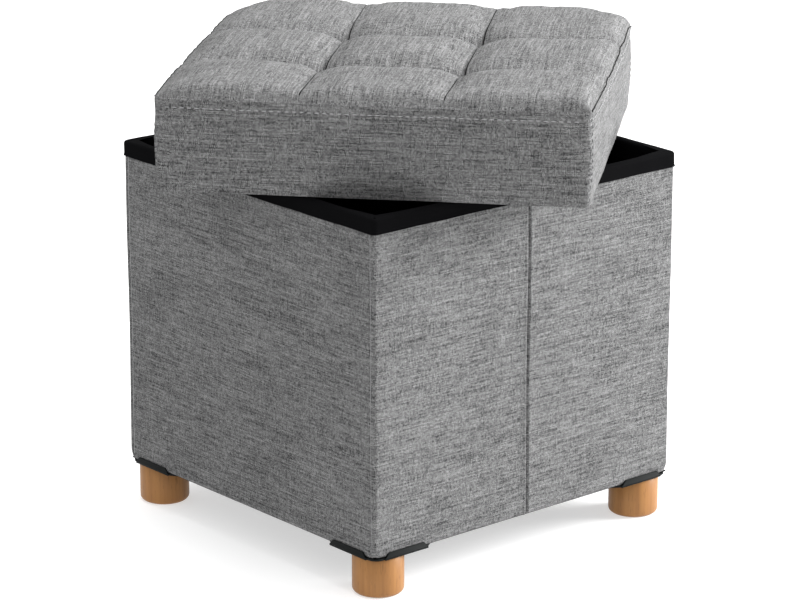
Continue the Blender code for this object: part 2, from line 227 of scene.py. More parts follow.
def mixed(material, factor, low, high):
    return add(
        material, "ShaderNodeMix", [(0, factor)], [(6, linear(low)), (7, linear(high))],
        data_type="RGBA", clamp_factor=True,
    ).outputs[2]


def finished(material, shader, colour, height, strength, distance):
    """Joins a colour and a bump, distance metres high, to the shader."""
    bump = add(
        material, "ShaderNodeBump", [("Height", height)], [("Strength", strength), ("Distance", distance)]
    )
    material.node_tree.links.new(colour, shader.inputs["Base Color"])
    material.node_tree.links.new(bump.outputs[0], shader.inputs["Normal"])
    return material


def yarn_place(material, split, across):
    """The weave's coordinates with the one across the yarns held to whole yarns."""
    yarn = add(
        material, "ShaderNodeMath", [(0, split.outputs[across])], [(1, YARN_PITCH)], operation="SNAP"
    ).outputs[0]
    sources = [split.outputs[0], split.outputs[1]]
    sources[across] = yarn
    return add(material, "ShaderNodeCombineXYZ", enumerate(sources)).outputs[0]


def linen():
    """Linen-look polyester in plain weave, melange grey, with slubs along the weft.

    It is drawn at one yarn a millimetre, a little coarser than the real cloth, so that it shows.
    """
    material, shader = new_material("linen_look_polyester", 0.95, Specular_IOR_Level=0.2)
    uv = add(material, "ShaderNodeUVMap", uv_map="weave").outputs["UV"]
    split = add(material, "ShaderNodeSeparateXYZ", [("Vector", uv)])
    waves = []
    for axis in (0, 1):
        turn = add(
            material, "ShaderNodeMath", [(0, split.outputs[axis])],
            [(1, math.pi / YARN_PITCH)], operation="MULTIPLY",
        )
        waves.append(add(material, "ShaderNodeMath", [(0, turn.outputs[0])], operation="SINE").outputs[0])
    crossing = add(
        material, "ShaderNodeMath", [(0, waves[0]), (1, waves[1])], operation="MULTIPLY"
    ).outputs[0]
    rounded = add(material, "ShaderNodeMath", [(0, crossing)], operation="ABSOLUTE").outputs[0]
    weft_over = add(
        material, "ShaderNodeMath", [(0, crossing)],
        [(1, 0.9), (2, 0.5)], operation="MULTIPLY_ADD", use_clamp=True,
    ).outputs[0]
    # each yarn has its own run of tones: flecks 2 mm long, and slubs of 10 to 40 mm
    weft_place, warp_place = (yarn_place(material, split, axis) for axis in (1, 0))
    apart = 7.31 / YARN_PITCH
    weft_fleck = stretched_noise(material, weft_place, (480, apart, 1), detail=0.0)
    slub = stretched_noise(material, weft_place, (75, apart, 1))
    long_slub = stretched_noise(material, weft_place, (24, apart, 1), detail=0.0)
    warp_fleck = stretched_noise(material, warp_place, (apart, 480, 1), detail=0.0)
    warp_tone = stretched_noise(material, warp_place, (apart, 95, 1))
    cloud = stretched_noise(material, uv, (11, 19, 1))
    weft = weighted(material, ((weft_fleck, 0.8), (slub, 1.1), (long_slub, 0.8), (cloud, 0.13)), WEFT_TONE)
    warp = weighted(material, ((warp_fleck, 0.8), (warp_tone, 1.0), (cloud, 0.13)), WARP_TONE)
    woven = add(
        material, "ShaderNodeMix", [(0, weft_over), (2, warp), (3, weft)], data_type="FLOAT"
    ).outputs[0]
    tone = add(
        material, "ShaderNodeMath", [(0, rounded), (2, woven)],
        [(1, YARN_ROUNDNESS)], operation="MULTIPLY_ADD",
    ).outputs[0]
    colour = mixed(material, tone, LINEN_DARK, LINEN_LIGHT)
    return finished(material, shader, colour, rounded, 0.45, 0.0003)


def plain_cloth(name, code, thread, roughness, bump_strength):
    """Plain cloth or thread: fine fibres in the bump and a little unevenness in the tone."""
    material, shader = new_material(name, roughness, Specular_IOR_Level=0.012)
    place = add(material, "ShaderNodeTexCoord").outputs["Object"]
    fibre = stretched_noise(material, place, (thread, thread, thread), 3.0, "3D")
    worn = stretched_noise(material, place, (30, 30, 30), 2.0, "3D")
    tone = weighted(material, ((fibre, 0.9), (worn, 0.5)), 0.35)
    lifted = "#%02X%02X%02X" % tuple(min(255, int(code[i:i + 2], 16) + 8) for i in (1, 3, 5))
    colour = mixed(material, tone, code, lifted)
    return finished(material, shader, colour, fibre, bump_strength, 0.0004)


def beech():
    """Turned beech with a clear satin lacquer: straight upright grain with short ray flecks."""
    material, shader = new_material(
        "lacquered_beech", 0.45, Specular_IOR_Level=0.25, Coat_Weight=0.08, Coat_Roughness=0.25
    )
    place = add(material, "ShaderNodeTexCoord").outputs["Object"]
    grain = stretched_noise(material, place, (260, 260, 9), 4.0, "3D")
    band = stretched_noise(material, place, (70, 70, 4), 2.0, "3D")
    fleck = stretched_noise(material, place, (900, 900, 90), 1.0, "3D")
    tone = weighted(material, ((grain, 1.1), (band, 0.9)), 0.45)
    wood = mixed(material, tone, BEECH_DEEP, BEECH_PALE)
    sharp = add(
        material, "ShaderNodeMapRange", [("Value", fleck)],
        [("From Min", 0.62), ("From Max", 0.72), ("To Min", 0.0), ("To Max", 0.45)],
    ).outputs[0]
    colour = add(
        material, "ShaderNodeMix", [(0, sharp), (6, wood)], [(7, linear(BEECH_FLECK))],
        data_type="RGBA", clamp_factor=True,
    ).outputs[2]
    return finished(material, shader, colour, grain, 0.12, 0.0003)


def moulded_plastic():
    """Moulded black polypropylene with a fine spark-eroded grain."""
    material, shader = new_material("moulded_polypropylene", 0.55, Specular_IOR_Level=0.10)
    place = add(material, "ShaderNodeTexCoord").outputs["Object"]
    grain = stretched_noise(material, place, (1400, 1400, 1400), 2.0, "3D")
    smear = stretched_noise(material, place, (40, 40, 40), 2.0, "3D")
    colour = mixed(material, smear, PLASTIC, "#111414")
    return finished(material, shader, colour, grain, 0.2, 0.0002)


def zinc_plate():
    """Bright zinc plating, a little cloudy."""
    material, shader = new_material("zinc_plated_steel", 0.32, Metallic=1.0)
    place = add(material, "ShaderNodeTexCoord").outputs["Object"]
    cloud = stretched_noise(material, place, (160, 160, 160), 3.0, "3D")
    colour = mixed(material, cloud, "#9FA1A3", ZINC)
    return finished(material, shader, colour, cloud, 0.08, 0.0002)


def fibreboard():
    """Raw fibreboard: short matted fibres."""
    material, shader = new_material("raw_fibreboard", 0.85)
    place = add(material, "ShaderNodeTexCoord").outputs["Object"]
    fibre = stretched_noise(material, place, (500, 500, 500), 4.0, "3D")
    colour = mixed(material, fibre, "#8B6B49", "#B8966E")
    return finished(material, shader, colour, fibre, 0.3, 0.0003)


LINEN_CLOTH = linen()
BINDING_CLOTH = plain_cloth("black_woven_binding", BINDING, 900, 0.85, 0.35)
LINING_CLOTH = plain_cloth("black_nonwoven_lining", LINING, 420, 0.95, 0.5)
WEBBING = plain_cloth("black_polypropylene_webbing", "#0B0B0C", 700, 0.6, 0.6)
BEECH = beech()
POLYPROPYLENE = moulded_plastic()
ZINC_PLATE = zinc_plate()
FIBREBOARD = fibreboard()
PALE_THREAD = plain_cloth("pale_grey_thread", "#A2A2A3", 1500, 0.7, 0.2)
STITCH_THREAD = plain_cloth("grey_sewing_thread", "#959596", 1500, 0.7, 0.2)
DARK_THREAD = plain_cloth("dark_tufting_twine", CORD, 1500, 0.8, 0.2)
# black thread in the lid's seams, which also paints the seams' shade as a dark line
SEAM_SHADE_TWINE = plain_cloth("black_seam_shade_thread", "#101010", 1500, 0.9, 0.2)


# ---------------------------------------------------------------- piece helpers
def piece(name, bm, material, body, replaces=(), place=None, uv=None, sharp=50):
    """A finished piece from a bmesh, riding on a body, with its place in its mesh."""
    mesh = bpy.data.meshes.new(name)
    bm.to_mesh(mesh)
    bm.free()
    mesh.shade_smooth()
    mesh.set_sharp_from_angle(angle=math.radians(sharp))
    if uv:
        uv(mesh)
    if place:
        mesh.transform(place)
    mesh.materials.append(material)
    obj = in_scene(name, mesh)
    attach(obj, body)
    if replaces:
        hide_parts(*replaces)
    return obj


def wall_uv(mesh):
    """Weave coordinates in metres for upright panels: slubs run level."""
    layer = mesh.uv_layers.new(name="weave")
    for face in mesh.polygons:
        level = 0 if abs(face.normal.y) > abs(face.normal.x) else 1
        for loop in face.loop_indices:
            point = mesh.vertices[mesh.loops[loop].vertex_index].co
            layer.data[loop].uv = (point[level] + 3 * level, point.z)


def rounded_walls(half_x, half_y, low, high, radius, segments):
    """A bmesh of four upright walls with round corners, open above and below."""
    bm = bmesh.new()
    bmesh.ops.create_cube(bm, size=1.0)
    bmesh.ops.scale(bm, vec=(2 * half_x, 2 * half_y, high - low), verts=bm.verts)
    bmesh.ops.translate(bm, vec=(0, 0, (low + high) / 2), verts=bm.verts)
    upright = [e for e in bm.edges if abs(e.verts[0].co.z - e.verts[1].co.z) > 1e-6]
    bevel(bm, upright, radius, segments)
    ends = [f for f in bm.faces if abs(f.normal.z) > 0.9]
    bmesh.ops.delete(bm, geom=ends, context="FACES_ONLY")
    return bm


def bevel(bm, edges, offset, segments, **settings):
    """Rounds some edges, with offset metres taken from each side of them."""
    bmesh.ops.bevel(
        bm, geom=edges, offset=offset, offset_type="OFFSET", segments=segments,
        profile=0.5, affect="EDGES", material=-1, **settings,
    )


def cut(bm, point, normal):
    """Cuts every face that a plane crosses."""
    everything = bm.verts[:] + bm.edges[:] + bm.faces[:]
    bmesh.ops.bisect_plane(bm, geom=everything, dist=1e-6, plane_co=point, plane_no=normal)


# ---------------------------------------------------------------- camera, floor and light
def add_camera():
    camera = bpy.data.cameras.new("camera")
    camera.lens = 160.5
    camera.sensor_width = 36.0
    obj = in_scene("camera", camera)
    azimuth, elevation = math.radians(49.46), math.radians(16.92)
    level = math.cos(elevation)
    back = Vector((math.sin(azimuth) * level, -math.cos(azimuth) * level, math.sin(elevation)))
    obj.location = Vector((0, 0.003, 0.2126)) + back * 3.511
    obj.rotation_mode = "QUATERNION"
    obj.rotation_quaternion = (-back).to_track_quat("-Z", "Y")
    bpy.context.scene.camera = obj


def add_floor():
    """A pale sweep lit from within, as on a light table, so that shadows on it stay faint."""
    bm = bmesh.new()
    bmesh.ops.create_grid(bm, x_segments=1, y_segments=1, size=30)
    mesh = bpy.data.meshes.new("floor")
    bm.to_mesh(mesh)
    bm.free()
    material, shader = new_material("pale_floor", 0.9)
    shader.inputs["Base Color"].default_value = linear("#C0C0C0")
    shader.inputs["Emission Color"].default_value = (1, 1, 1, 1)
    shader.inputs["Emission Strength"].default_value = 0.55
    mesh.materials.append(material)
    in_scene("floor", mesh)


def add_light(name, direction, distance, size, power):
    light = bpy.data.lights.new(name, "AREA")
    light.shape = "DISK"
    light.size = size
    light.energy = power
    obj = in_scene(name, light)
    direction = Vector(direction).normalized()
    obj.location = Vector((0, 0, 0.25)) + direction * distance
    obj.rotation_mode = "QUATERNION"
    obj.rotation_quaternion = (-direction).to_track_quat("-Z", "Y")


def add_lights():
    """A white room, one large soft light from behind on the right, and one overhead."""
    world = bpy.data.worlds.new("studio")
    world.use_nodes = True
    background = world.node_tree.nodes["Background"]
    background.inputs["Color"].default_value = (1, 1, 1, 1)
    background.inputs["Strength"].default_value = 1.0
    bpy.context.scene.world = world
    bpy.context.scene.view_settings.view_transform = "Standard"
    add_light("key", (0.52, 0.82, 0.36), 3.0, 1.4, 190)
    add_light("top", (0.0, 0.12, 1.0), 3.0, 2.4, 104)


# ---------------------------------------------------------------- box
def corner_pull(x, y, z):
    """How far the cloth is drawn in at a bottom corner, where it is turned under."""
    near = max(0.0, 1 - max(HALF_X - abs(x), HALF_Y - abs(y)) / TUCK_REACH)
    low = max(0.0, 1 - (z - BOX_BOTTOM) / TUCK_REACH)
    return TUCK * (1 - math.sqrt(max(0.0, 1 - (near * low) ** 2)))


def box_cover():
    """The box's outer cloth, with fold seams, corner seams and a turned-in lower edge."""
    bm = rounded_walls(HALF_X, HALF_Y, BOX_BOTTOM, BOX_TOP + COVER_LAP, CORNER_RADIUS, 5)
    for x in (-1, 1):
        for step in SEAM_CUTS:
            cut(bm, (x * (HALF_X - CORNER_SEAM) + step * 0.001, 0, 0), (1, 0, 0))
    for step in FOLD_CUTS:
        cut(bm, (0, step * 0.001, 0), (0, 1, 0))
    for i in range(1, 32):
        cut(bm, (0, 0, BOX_BOTTOM + (BOX_TOP - BOX_BOTTOM) * i / 32), (0, 0, 1))
    for i in range(-15, 16):
        cut(bm, (i * WALL_STEP + 0.002, 0, 0), (1, 0, 0))
        cut(bm, (0, i * WALL_STEP + 0.0055, 0), (0, 1, 0))
    for lift in HEM_CUTS:
        cut(bm, (0, 0, BOX_BOTTOM + lift), (0, 0, 1))
    for vert in bm.verts:
        x, y, z = vert.co
        flat_x, flat_y = abs(x) > HALF_X - 1e-5, abs(y) > HALF_Y - 1e-5
        outward = Vector((x, 0, 0)) if flat_x else Vector((0, y, 0))
        if not flat_x and not flat_y:
            outward = Vector((math.copysign(1, x), math.copysign(1, y), 0))
        outward.normalize()
        lift = WALL_WAVE * noise.noise(Vector((x * 13, y * 13, z * 9)))
        lift += WALL_RIPPLE * noise.noise(Vector((x * 60, y * 60, z * 16)))
        if flat_x:
            lift += fold_seam(y)
        if flat_y:
            lift -= GROOVE_DEPTH * max(0.0, 1 - abs(abs(x) - (HALF_X - CORNER_SEAM)) / 0.0011)
            lift += RIDGE_HEIGHT * max(0.0, 1 - abs(abs(x) - (HALF_X - CORNER_SEAM + 0.002)) / 0.002)
        turned = max(0.0, 1 - (z - BOX_BOTTOM) / HEM_HEIGHT)
        lift -= HEM_TURN * (1 - math.sqrt(max(0.0, 1 - turned * turned)))
        vert.co += outward * lift
        pull = corner_pull(x, y, z)
        vert.co -= Vector((math.copysign(pull, x), math.copysign(pull, y), 0))
    bmesh.ops.recalc_face_normals(bm, faces=bm.faces)
    return piece(
        "box_cover", bm, LINEN_CLOTH, "box",
        ("front_cover", "back_cover", "left_cover", "right_cover"), uv=wall_uv,
    )


def corner_threads(cover):
    """The pale thread that shows in the seam beside each upright corner of the box."""
    tree = BVHTree.FromObject(cover, bpy.context.evaluated_depsgraph_get())
    bm = bmesh.new()
    steps = 64
    for x in (-1, 1):
        for y in (-1, 1):
            points = []
            for i in range(steps + 1):
                level = BOX_BOTTOM + 0.006 + (BOX_TOP - BOX_BOTTOM - 0.006) * i / steps
                start = Vector((x * (HALF_X - CORNER_SEAM), y * 0.3, level))
                hit = tree.ray_cast(start, Vector((0, -y, 0)))[0]
                if hit:
                    points.append(hit + Vector((0, y * 0.0001, 0)))
            thread(bm, points, PALE_THREAD_RADIUS)
    return piece("box_corner_thread", bm, PALE_THREAD, "box")


def fold_seam(across):
    """A side's fold: the cloth is pinched into a groove with a small ridge beside it."""
    groove = -FOLD_DEPTH * max(0.0, 1 - abs(across) / FOLD_HALF) ** 0.8
    ridge = 0.0009 * math.exp(-((across + FOLD_RIDGE) / FOLD_HALF) ** 2)
    return groove + ridge + 0.0004 * math.exp(-((across - FOLD_RIDGE) / FOLD_HALF) ** 2)


def rim_binding():
    """One black binding sewn over the wall's top edge, round at its top and slightly proud.

    Inside the box it laps down over the lining, so that no bare board shows.
    """
    half = RIM_HALF + RIM_PROUD
    bm = rounded_walls(half, half, BOX_TOP + RIM_START, RIM_TOP, RIM_CORNER, 6)
    bmesh.ops.recalc_face_normals(bm, faces=bm.faces)
    bmesh.ops.solidify(bm, geom=bm.faces[:], thickness=RIM_WIDTH + RIM_PROUD)
    top_edges = [
        e for e in bm.edges
        if all(abs(v.co.z - RIM_TOP) < 1e-5 for v in e.verts) and len(e.link_faces) == 2
        and abs(abs(e.link_faces[0].normal.z) - abs(e.link_faces[1].normal.z)) > 0.5
    ]
    bevel(bm, top_edges, RIM_ROUND, 4)
    for i in range(-15, 16):
        cut(bm, (i * WALL_STEP, 0, 0), (1, 0, 0))
        cut(bm, (0, i * WALL_STEP, 0), (0, 1, 0))
    cut(bm, (0, 0, BOX_TOP + RIM_SKIRT), (0, 0, 1))
    cut(bm, (0, 0, BOX_TOP + 0.008), (0, 0, 1))
    for vert in bm.verts:
        vert.co += noise.noise_vector(vert.co * 30) * RIM_WAVE
        low = max(0.0, 1 - (vert.co.z - BOX_TOP) / RIM_SKIRT)
        reach = max(abs(vert.co.x), abs(vert.co.y))
        if reach > RIM_HALF - 0.003:
            vert.co.xy *= 1 + 0.0007 * low / reach
        elif vert.co.z < BOX_TOP + 0.003:
            vert.co.xy *= 1 - 0.0006 / reach
            vert.co.z -= RIM_LAP
    bmesh.ops.recalc_face_normals(bm, faces=bm.faces)
    return piece(
        "rim_binding", bm, BINDING_CLOTH, "box", [f"rim_binding_{side}" for side in SIDES]
    )


# ---------------------------------------------------------------- feet
def foot(name):
    """A turned beech foot, rounded at the floor."""
    low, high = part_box(f"foot_{name}")
    middle, radius = (low + high) / 2, (high.x - low.x) / 2
    edge, ease = FOOT_EDGE, FOOT_EASE
    bm = bmesh.new()
    outline = [Vector((0, 0, 0)), Vector((radius - edge, 0, 0))]
    for step in range(1, 7):
        turn = math.pi / 2 * step / 6
        outline.append(Vector((radius - edge * (1 - math.sin(turn)), 0, edge * (1 - math.cos(turn)))))
    outline += [
        Vector((radius, 0, high.z - ease)), Vector((radius - ease, 0, high.z)), Vector((0, 0, high.z)),
    ]
    verts = [bm.verts.new(point) for point in outline]
    edges = [bm.edges.new(pair) for pair in zip(verts, verts[1:])]
    bmesh.ops.spin(
        bm, geom=verts + edges, cent=(0, 0, 0), axis=(0, 0, 1), angle=math.tau, steps=64, use_merge=True,
    )
    bmesh.ops.remove_doubles(bm, verts=bm.verts, dist=1e-6)
    bmesh.ops.recalc_face_normals(bm, faces=bm.faces)
    place = Matrix.Translation((middle.x, middle.y, 0))
    return piece(f"turned_foot_{name}", bm, BEECH, "box", (f"foot_{name}",), place=place)


# ---------------------------------------------------------------- lid
def crown_share(distance, run=CROWN_RUN, power=3):
    """How full the lid's top is at a distance from one edge, from 0 at the seam to 1."""
    open_share = 1 - min(1.0, max(0.0, distance) / run)
    return (1 - open_share ** power) ** (1 / power)


def side_crown(x):
    """The same across the lid, whose left edge is the more rounded one."""
    if x < 0:
        return crown_share(LID_HALF + x, SLACK_RUN, 2)
    return crown_share(LID_HALF - x)


def seam_pull(across, along):
    """How far one tufting seam draws the top down, at a distance across it and a place along it."""
    place = abs(along)
    if place < TUFT:
        near = (place / TUFT) ** 4.5
        depth = INNER_DEPTH + (TUFT_DEPTH - INNER_DEPTH) * near
    else:
        near = max(0.0, 1 - (place - TUFT) / TUFT_REACH) ** 3
        share = min(1.0, (place - TUFT) / (LID_HALF - TUFT))
        depth = OUTER_DEPTH + (EDGE_DEPTH - OUTER_DEPTH) * share ** 2 + (TUFT_DEPTH - OUTER_DEPTH) * near
    shut = 1 - min(1.0, abs(across) / (VALLEY_HALF + VALLEY_WIDER * near))
    foot = 1 - min(1.0, abs(across) / VALLEY_FOOT)
    steep = 0.12 + 0.43 * near
    return depth * ((1 - steep) * shut ** 1.6 + steep * (1 - math.sqrt(1 - foot ** 2)))


def soft_corner(x, y):
    """How far the two slack corners, at the back, have sunk."""
    away = math.hypot(LID_HALF - abs(x), LID_HALF - y)
    return SOFT_CORNER * max(0.0, 1 - away / SOFT_REACH) ** 1.5


def top_height(x, y):
    """The level of the lid's top over one point of its plan."""
    full = side_crown(x) * crown_share(LID_HALF - abs(y))
    pulls = [seam_pull(x - side * TUFT, y) for side in (-1, 1)]
    pulls += [seam_pull(y - side * TUFT, x) for side in (-1, 1)]
    pull = sum(p ** 5 for p in pulls) ** (1 / 5)
    return SEAM + (PAD_TOP - SEAM) * full - pull * min(1.0, 0.12 + full) - soft_corner(x, y)


def grid_place(share):
    """Where a grid line of the lid lies: evenly over the middle pad, closer towards the edge."""
    third = abs(share) * 3
    if third <= 1:
        return math.copysign(TUFT * third, share)
    outer = (third - 1) / 2
    return math.copysign(TUFT + (LID_HALF - TUFT) * (1 - (1 - outer) ** 1.3), share)


def round_corner(x, y, radius):
    """Moves a point of a square plan so that the plan's corners are round."""
    start = LID_HALF - radius
    across, along = (abs(x) - start) / radius, (abs(y) - start) / radius
    if across <= 0 or along <= 0:
        return x, y
    across, along = across * math.sqrt(1 - along ** 2 / 2), along * math.sqrt(1 - across ** 2 / 2)
    return math.copysign(start + across * radius, x), math.copysign(start + along * radius, y)


def lid_grid():
    """The lid's cloth as a grid over its top, carried down its four sides."""
    bm = bmesh.new()
    bmesh.ops.create_grid(bm, x_segments=LID_CELLS, y_segments=LID_CELLS, size=1.0)
    for vert in bm.verts:
        x, y = round_corner(grid_place(vert.co.x), grid_place(vert.co.y), LID_CORNER)
        vert.co = Vector((x, y, 0))
    bm.verts.ensure_lookup_table()
    for vert in bm.verts:
        vert.co.z = top_height(vert.co.x, vert.co.y)
    ring = [e for e in bm.edges if e.is_boundary]
    level = SEAM
    for drop in [0.0008, 0.0012, 0.0020] + [0.0040] * 20 + [0.0030, 0.0020]:
        level -= drop
        grown = bmesh.ops.extrude_edge_only(bm, edges=ring)["geom"]
        ring = [e for e in grown if isinstance(e, bmesh.types.BMEdge) and e.is_boundary]
        for vert in {v for e in ring for v in e.verts}:
            vert.co.z = max(0.0, level) - soft_corner(vert.co.x, vert.co.y) * (max(0.0, level) / SEAM) ** 2
    return bm


def side_frame(vert):
    """(outward direction, place along the side) of a point on the lid's sides."""
    x, y = vert.x, vert.y
    if abs(x) > LID_HALF - LID_CORNER and abs(y) > LID_HALF - LID_CORNER:
        centre = Vector((math.copysign(LID_HALF - LID_CORNER, x), math.copysign(LID_HALF - LID_CORNER, y)))
        return (vert.xy - centre).normalized(), LID_HALF
    if abs(x) > abs(y):
        return Vector((math.copysign(1, x), 0)), y
    return Vector((0, math.copysign(1, y))), x


def swell_sides(bm):
    """Bows the lid's sides out over their padding, and sinks the seams into them."""
    for vert in bm.verts:
        x, y = vert.co.xy
        if max(abs(x), abs(y)) < LID_HALF - LID_CORNER:
            continue
        sunk = soft_corner(x, y)
        level = vert.co.z + sunk * min(1.0, max(0.0, vert.co.z / SEAM)) ** 2
        if level > SEAM + 0.0001 and not is_rim_point(x, y):
            continue
        outward, along = side_frame(vert.co)
        along = min(abs(along), LID_HALF)
        height = min(1.0, max(0.0, level / SEAM))
        lift = SIDE_SWELL * (1 - (1 - height) ** 3) * (1 - 0.75 * (along / LID_HALF) ** 3)
        kink = math.exp(-((along - TUFT) / KINK_REACH) ** 2)
        lift -= KINK_DEPTH * kink * height ** 8
        flat = (1 - height ** 6) * (1 - (along / LID_HALF) ** 4)
        lift += SIDE_WAVE * noise.noise(Vector((x * 12, y * 12, level * 14))) * flat
        groove = FRONT_GROOVE if y < -abs(x) else TOP_GROOVE
        lift -= groove * max(0.0, 1 - abs(level - SEAM) / 0.0006)
        seam_gap = abs(abs(y) - (LID_HALF - LID_CORNER - 0.001))
        if abs(x) > LID_HALF - 1e-5:
            lift -= UPRIGHT_GROOVE * max(0.0, 1 - seam_gap / 0.0014)
        vert.co.xy += outward * lift


def is_rim_point(x, y):
    """Whether a point of the plan lies on the lid's outline."""
    across, along = abs(x), abs(y)
    start = LID_HALF - LID_CORNER
    if across > start and along > start:
        return math.hypot(across - start, along - start) > LID_CORNER - 1e-4
    return max(across, along) > LID_HALF - 1e-5


def inflated(obj, most):
    """Swells the lid's cloth by air pressure, held at its seams and tufts, by at most so much."""
    start = [v.co.copy() for v in obj.data.vertices]
    held = obj.vertex_groups.new(name="held")
    for vert in obj.data.vertices:
        x, y, z = vert.co
        on_seam = min(abs(abs(x) - TUFT), abs(abs(y) - TUFT)) < 0.0008 and z > SEAM - 0.04
        sewn = abs(z - SEAM) < 0.0024 + soft_corner(x, y) and max(abs(x), abs(y)) > LID_HALF - 0.012
        low = max(0.0, 1 - z / 0.012)
        weight = 1.0 if on_seam or sewn else low
        if weight > 0:
            held.add([vert.index], weight, "REPLACE")
    cloth = obj.modifiers.new("cloth", "CLOTH")
    cloth.settings.quality = 6
    cloth.settings.mass = 0.2
    cloth.settings.tension_stiffness = 18
    cloth.settings.compression_stiffness = 18
    cloth.settings.bending_stiffness = 0.8
    cloth.settings.use_pressure = True
    cloth.settings.uniform_pressure_force = 2.0
    cloth.settings.vertex_group_mass = "held"
    cloth.settings.effector_weights.gravity = 0.0
    cloth.settings.shrink_min = -0.01
    cloth.point_cache.frame_start = 1
    cloth.point_cache.frame_end = 20
    for frame_number in range(1, 21):
        bpy.context.scene.frame_set(frame_number)
    graph = bpy.context.evaluated_depsgraph_get()
    ends = [v.co.copy() for v in obj.evaluated_get(graph).data.vertices]
    obj.modifiers.clear()
    bpy.context.scene.frame_set(1)
    for vert, first, last in zip(obj.data.vertices, start, ends):
        move = last - first
        vert.co = first + move * min(1.0, most / max(move.length, 1e-9))


def pucker(x, y):
    """Fine gathers in the top: across the seams, along their outer ends, and out from the tufts."""
    total = 0.0
    for side in (-1, 1):
        for across, along, key in ((x - side * TUFT, y, 3), (y - side * TUFT, x, 8)):
            fade = math.exp(-abs(across) / 0.020) * (1 - math.exp(-abs(across) / 0.004))
            wave = noise.noise(Vector((along * 120 + across * side * 40, across * 10 + side * 7, key)))
            total += PUCKER_ACROSS * fade * wave
            outer = min(1.0, max(0.0, (abs(along) - TUFT - 0.018) / 0.03))
            drawn = noise.noise(Vector((across * 260, along * 9, key + side * 3)))
            total += PUCKER_ALONG * outer * math.exp(-abs(across) / 0.011) * drawn
        for edge, along in ((LID_HALF - abs(y), x), (LID_HALF - abs(x), y)):
            gather = noise.noise(Vector((along * 130, side * 5 + edge * 10, 9)))
            total += PUCKER_EDGE * math.exp(-edge / 0.018) * gather
    for tuft_x in (-TUFT, TUFT):
        for tuft_y in (-TUFT, TUFT):
            reach = math.hypot(x - tuft_x, y - tuft_y)
            turn = math.atan2(y - tuft_y, x - tuft_x)
            fade = math.exp(-reach / 0.022) * min(1.0, reach / 0.006)
            ray = noise.noise(Vector((math.cos(turn) * 4.2, math.sin(turn) * 4.2, reach * 8)))
            total += PUCKER_TUFT * fade * ray
    return total


def sew(bm):
    """Cuts a narrow slit along each tufting seam of the top, with a low ridge on each side."""
    for axis, normal in enumerate(((1, 0, 0), (0, 1, 0))):
        for side in (-1, 1):
            for step in (-2.4, -1.0, 1.0, 2.4):
                place = [0, 0, 0]
                place[axis] = side * TUFT + step * SLIT_HALF
                near = [
                    f for f in bm.faces
                    if f.calc_center_median().z > SEAM - 0.016
                    and abs(abs(f.calc_center_median()[axis]) - TUFT) < 0.006
                ]
                edges = {e for f in near for e in f.edges}
                geom = near + list(edges) + list({v for f in near for v in f.verts})
                bmesh.ops.bisect_plane(bm, geom=geom, dist=1e-6, plane_co=place, plane_no=normal)
    for vert in bm.verts:
        x, y, z = vert.co
        if z < SEAM - 0.016 or is_rim_point(x, y):
            continue
        gap = min(abs(abs(x) - TUFT), abs(abs(y) - TUFT))
        slit = max(0.0, 1 - gap / SLIT_HALF)
        ridge = max(0.0, 1 - abs(gap - 2.4 * SLIT_HALF) / (1.4 * SLIT_HALF))
        edge = min(1.0, (LID_HALF - max(abs(x), abs(y))) / 0.006)
        vert.co.z += (0.00025 * ridge - SLIT_DEPTH * slit) * max(0.0, edge)


def cover_uv(mesh):
    """Weave coordinates in metres: slubs run front to back on the top and level on the sides."""
    layer = mesh.uv_layers.new(name="weave")
    for face in mesh.polygons:
        top = face.center.z > SEAM or max(abs(face.center.x), abs(face.center.y)) < LID_HALF - 0.012
        level = 0 if abs(face.center.y) > abs(face.center.x) else 1
        for loop in face.loop_indices:
            x, y, z = mesh.vertices[mesh.loops[loop].vertex_index].co
            if top:
                across = x + math.copysign((1 - side_crown(x)) * (PAD_TOP - SEAM), x)
                along = y + math.copysign((1 - crown_share(LID_HALF - abs(y))) * (PAD_TOP - SEAM), y)
                layer.data[loop].uv = (along, across + 5)
            else:
                layer.data[loop].uv = ((x, y)[level] + 3 * level, z + 9)


def lid_cover():
    """The lid's cloth: nine tufted pads on top and the band round the sides."""
    bm = lid_grid()
    bm.verts.index_update()
    rim = {
        v.index for v in bm.verts
        if is_rim_point(*v.co.xy) and abs(v.co.z + soft_corner(*v.co.xy) - SEAM) < 1e-5
    }
    swell_sides(bm)
    mesh = bpy.data.meshes.new("lid_form")
    bm.to_mesh(mesh)
    bm.free()
    obj = in_scene("lid_form", mesh)
    inflated(obj, AIR_SWELL)
    bm = bmesh.new()
    bm.from_mesh(obj.data)
    bpy.data.objects.remove(obj, do_unlink=True)
    crease = bm.edges.layers.float.new("crease_edge")
    for edge in bm.edges:
        ends = [v.co for v in edge.verts]
        for axis in (0, 1):
            for side in (-1, 1):
                if all(abs(end[axis] - side * TUFT) < 0.0012 and end.z > 0.05 for end in ends):
                    edge[crease] = 1.0
        if all(v.index in rim for v in edge.verts):
            edge[crease] = 1.0
    mesh = bpy.data.meshes.new("lid_form")
    bm.to_mesh(mesh)
    bm.free()
    obj = in_scene("lid_form", mesh)
    smooth = obj.modifiers.new("smooth", "SUBSURF")
    smooth.levels = smooth.render_levels = 1
    mesh = applied(obj)
    bm = bmesh.new()
    bm.from_mesh(mesh)
    bmesh.ops.recalc_face_normals(bm, faces=bm.faces)
    sew(bm)
    bm.normal_update()
    moves = [(v, v.normal * pucker(v.co.x, v.co.y)) for v in bm.verts if v.co.z > SEAM - 0.03]
    for vert, move in moves:
        if max(abs(vert.co.x), abs(vert.co.y)) < LID_HALF - 0.001 or vert.co.z > SEAM - 0.002:
            vert.co += move
    return bm


